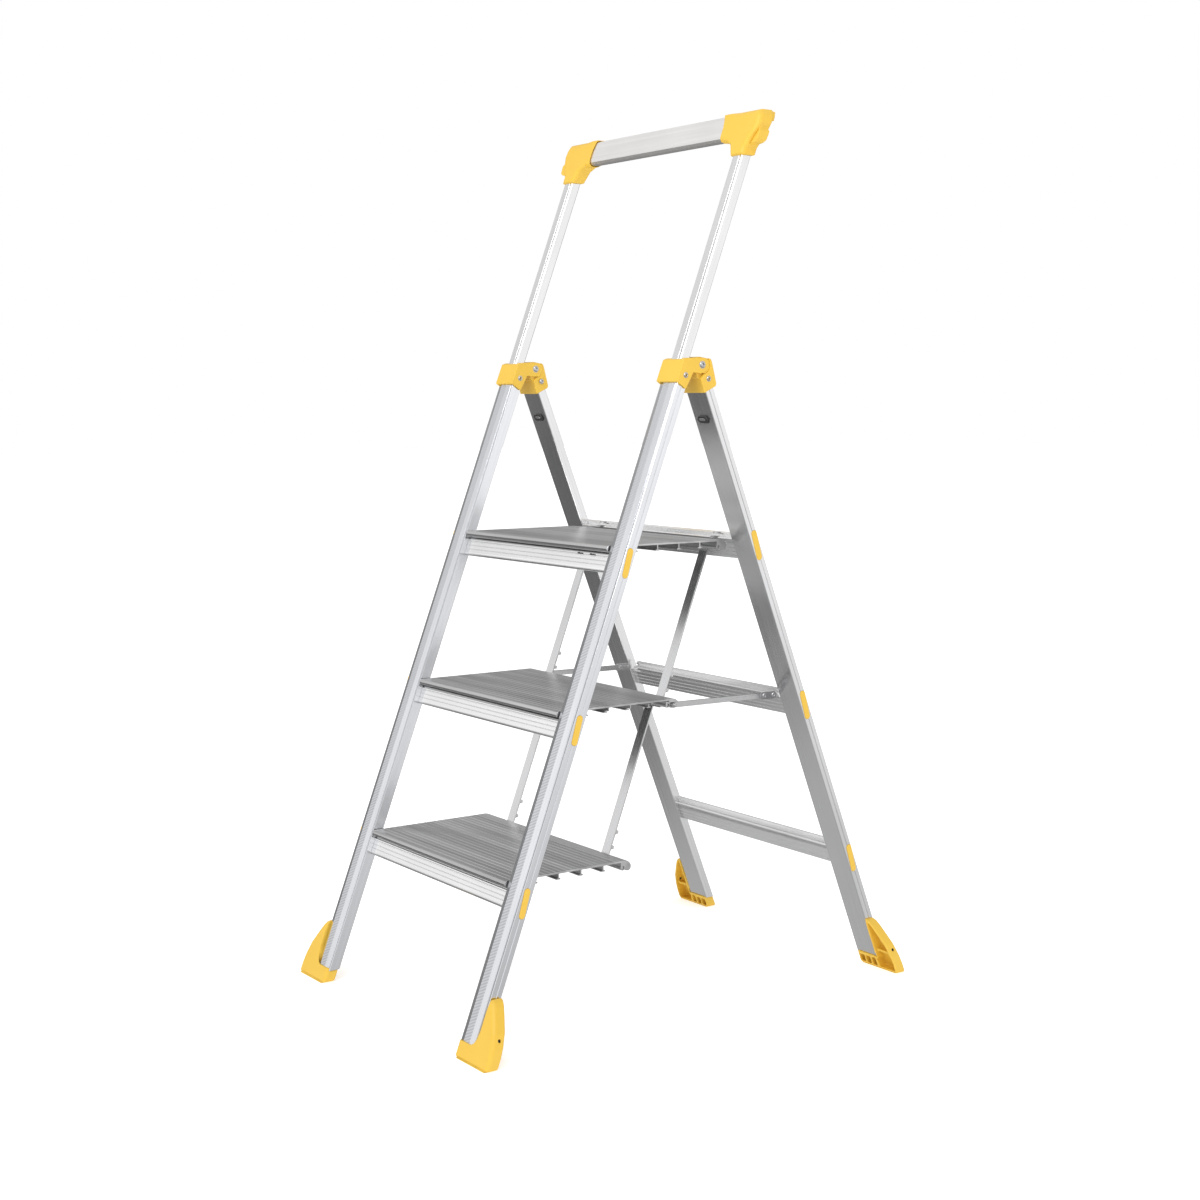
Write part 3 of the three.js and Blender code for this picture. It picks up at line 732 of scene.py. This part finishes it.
def make_spreader_fittings(label):
    """Bolt heads at both ends of a spreader, and the wider plate at its rear end."""
    side = SIDES[label]
    outwards = Vector((side, 0, 0))
    body = f"spreader_{label}_bar"
    end = np.array(SPREADER_END)
    along = end - np.array(SPREADER_START)
    along /= np.linalg.norm(along)
    up = np.array([-along[1], along[0]])

    def spot(x, a, b):
        y, z = end + a * along + b * up
        return place(side * x, y, z)

    plate = [spot(SPREADER_PLATE_X, a, b) for a, b in SPREADER_PLATE]
    slab(f"spreader_plate_{label}", "steel", body, plate, outwards * SPREADER_PLATE_THICK * MM, 0.3)
    for number, back in enumerate(SPREADER_BOLTS_BACK):
        screw(f"spreader_bolt_{number}_outer_{label}", body, spot(197.8, back, 0), outwards, 3.9, 1.6)
        screw(f"spreader_bolt_{number}_inner_{label}", body, spot(192.5, back, 0), -outwards, 3.6, 1.4)
    screw(f"spreader_bolt_front_{label}", body, place(side * 196.5, *SPREADER_START), outwards, 3.4, 1.4)


# ---------- stage ----------

FLOOR_SIZE = 60
FLOOR_TINT = (0.94, 0.94, 0.94)
FLOOR_NEAR = (0.9306, 0.9306, 0.9306)
FLOOR_GLOW = 0.5

LEFT_FRONT = [
    (0.0, 0.5), (0.17, 0.45), (0.215, 0.58), (0.224, 0.16), (0.25, 0.14), (0.262, 0.2), (0.282, 0.06),
    (0.32, 0.16), (0.45, 0.6), (0.53, 0.92), (0.61, 1.04), (0.72, 0.82), (1.0, 1.0),
]
LEFT_MID = [
    (0.0, 0.5), (0.17, 0.45), (0.215, 0.6), (0.224, 0.2), (0.25, 0.13), (0.262, 0.16), (0.282, 0.08),
    (0.34, 0.19), (0.45, 0.2), (0.58, 0.26), (0.72, 0.75), (1.0, 1.0),
]
LEFT_BACK = [
    (0.0, 0.35), (0.2, 0.22), (0.27, 0.26), (0.4, 0.2), (0.52, 0.24), (0.62, 0.34), (0.8, 0.7), (1.0, 1.0),
]
RIGHT = [
    (0.0, 0.5), (0.25, 0.35), (0.35, 0.55), (0.46, 1.0), (0.56, 1.1), (0.65, 0.7), (0.8, 0.75), (1.0, 0.9),
]


def floor_look():
    m = Look("floor_paint", FLOOR_TINT, 0.9, 0.0)
    mottle = m.noise(m.stretched((1, 1, 1)), 3.0, 2.0)
    m.link(m.ramp(mottle, [(0.3, FLOOR_NEAR), (0.7, FLOOR_TINT)]), m.shader.inputs["Base Color"])
    m.shader.inputs["Emission Color"].default_value = (1, 1, 1, 1)
    m.shader.inputs["Emission Strength"].default_value = FLOOR_GLOW
    return m.material


def make_floor():
    bpy.ops.mesh.primitive_plane_add(size=FLOOR_SIZE, location=(0, 0, 0))
    floor = bpy.context.object
    floor.name = "floor"
    floor.visible_glossy = False
    floor.data.materials.append(floor_look())


def make_key_light():
    data = bpy.data.lights.new("key", "AREA")
    data.shape = "RECTANGLE"
    data.size = 2.4
    data.size_y = 2.4
    data.energy = 60
    light = bpy.data.objects.new("key", data)
    bpy.context.scene.collection.objects.link(light)
    light.location = (1.6, -2.4, 3.4)
    light.rotation_euler = (Vector((0, 0, 0.6)) - light.location).to_track_quat("-Z", "Y").to_euler()


def make_studio():
    """Surroundings that the metal mirrors, in greys by height: three runs on the left, one on the right."""
    world = bpy.data.worlds.new("studio")
    bpy.context.scene.world = world
    world.use_nodes = True
    studio = Graph(world.node_tree)
    shade = world.node_tree.nodes["Background"]
    facing = studio.split(studio.add("ShaderNodeTexCoord").outputs["Generated"])
    height = studio.spread(facing["Z"], start=-1, end=1)
    left_front, left_mid, left_back, right = (
        studio.greys(height, stops) for stops in (LEFT_FRONT, LEFT_MID, LEFT_BACK, RIGHT))
    left_side = studio.mixed(studio.spread(facing["Y"], start=0.0, end=0.2), left_mid, left_back)
    left = studio.mixed(studio.spread(facing["Y"], start=-0.47, end=-0.33), left_front, left_side)
    whole = studio.mixed(studio.spread(facing["X"], start=-0.35, end=0.25), left, right)
    studio.link(whole, shade.inputs["Color"])
    shade.inputs["Strength"].default_value = 1.0
    backdrop = studio.add("ShaderNodeBackground")
    backdrop.inputs["Color"].default_value = (1, 1, 1, 1)
    choose = studio.add("ShaderNodeMixShader")
    studio.link(studio.add("ShaderNodeLightPath").outputs["Is Camera Ray"], choose.inputs["Fac"])
    studio.link(shade.outputs[0], choose.inputs[1])
    studio.link(backdrop.outputs[0], choose.inputs[2])
    studio.link(choose.outputs[0], world.node_tree.nodes["World Output"].inputs["Surface"])
    make_key_light()


def make_camera():
    data = bpy.data.cameras.new("camera")
    data.lens = CAMERA_LENS
    data.sensor_width = SENSOR
    camera = bpy.data.objects.new("camera", data)
    bpy.context.scene.collection.objects.link(camera)
    camera.location = CAMERA_PLACE
    camera.rotation_euler = (math.radians(90 - CAMERA_DOWN), 0, math.radians(CAMERA_YAW))
    bpy.context.scene.camera = camera


dress_cad_nodes()
for label in SIDES:
    for kind in ("front", "rear"):
        make_foot(kind, label)
        make_bracket(kind, label)
    make_corner(label)
    make_clip(label)
    make_spreader_fittings(label)
make_bracket_screws()
make_floor()
make_studio()
make_camera()
bpy.context.scene.view_settings.view_transform = "Standard"

bpy.context.view_layer.update()
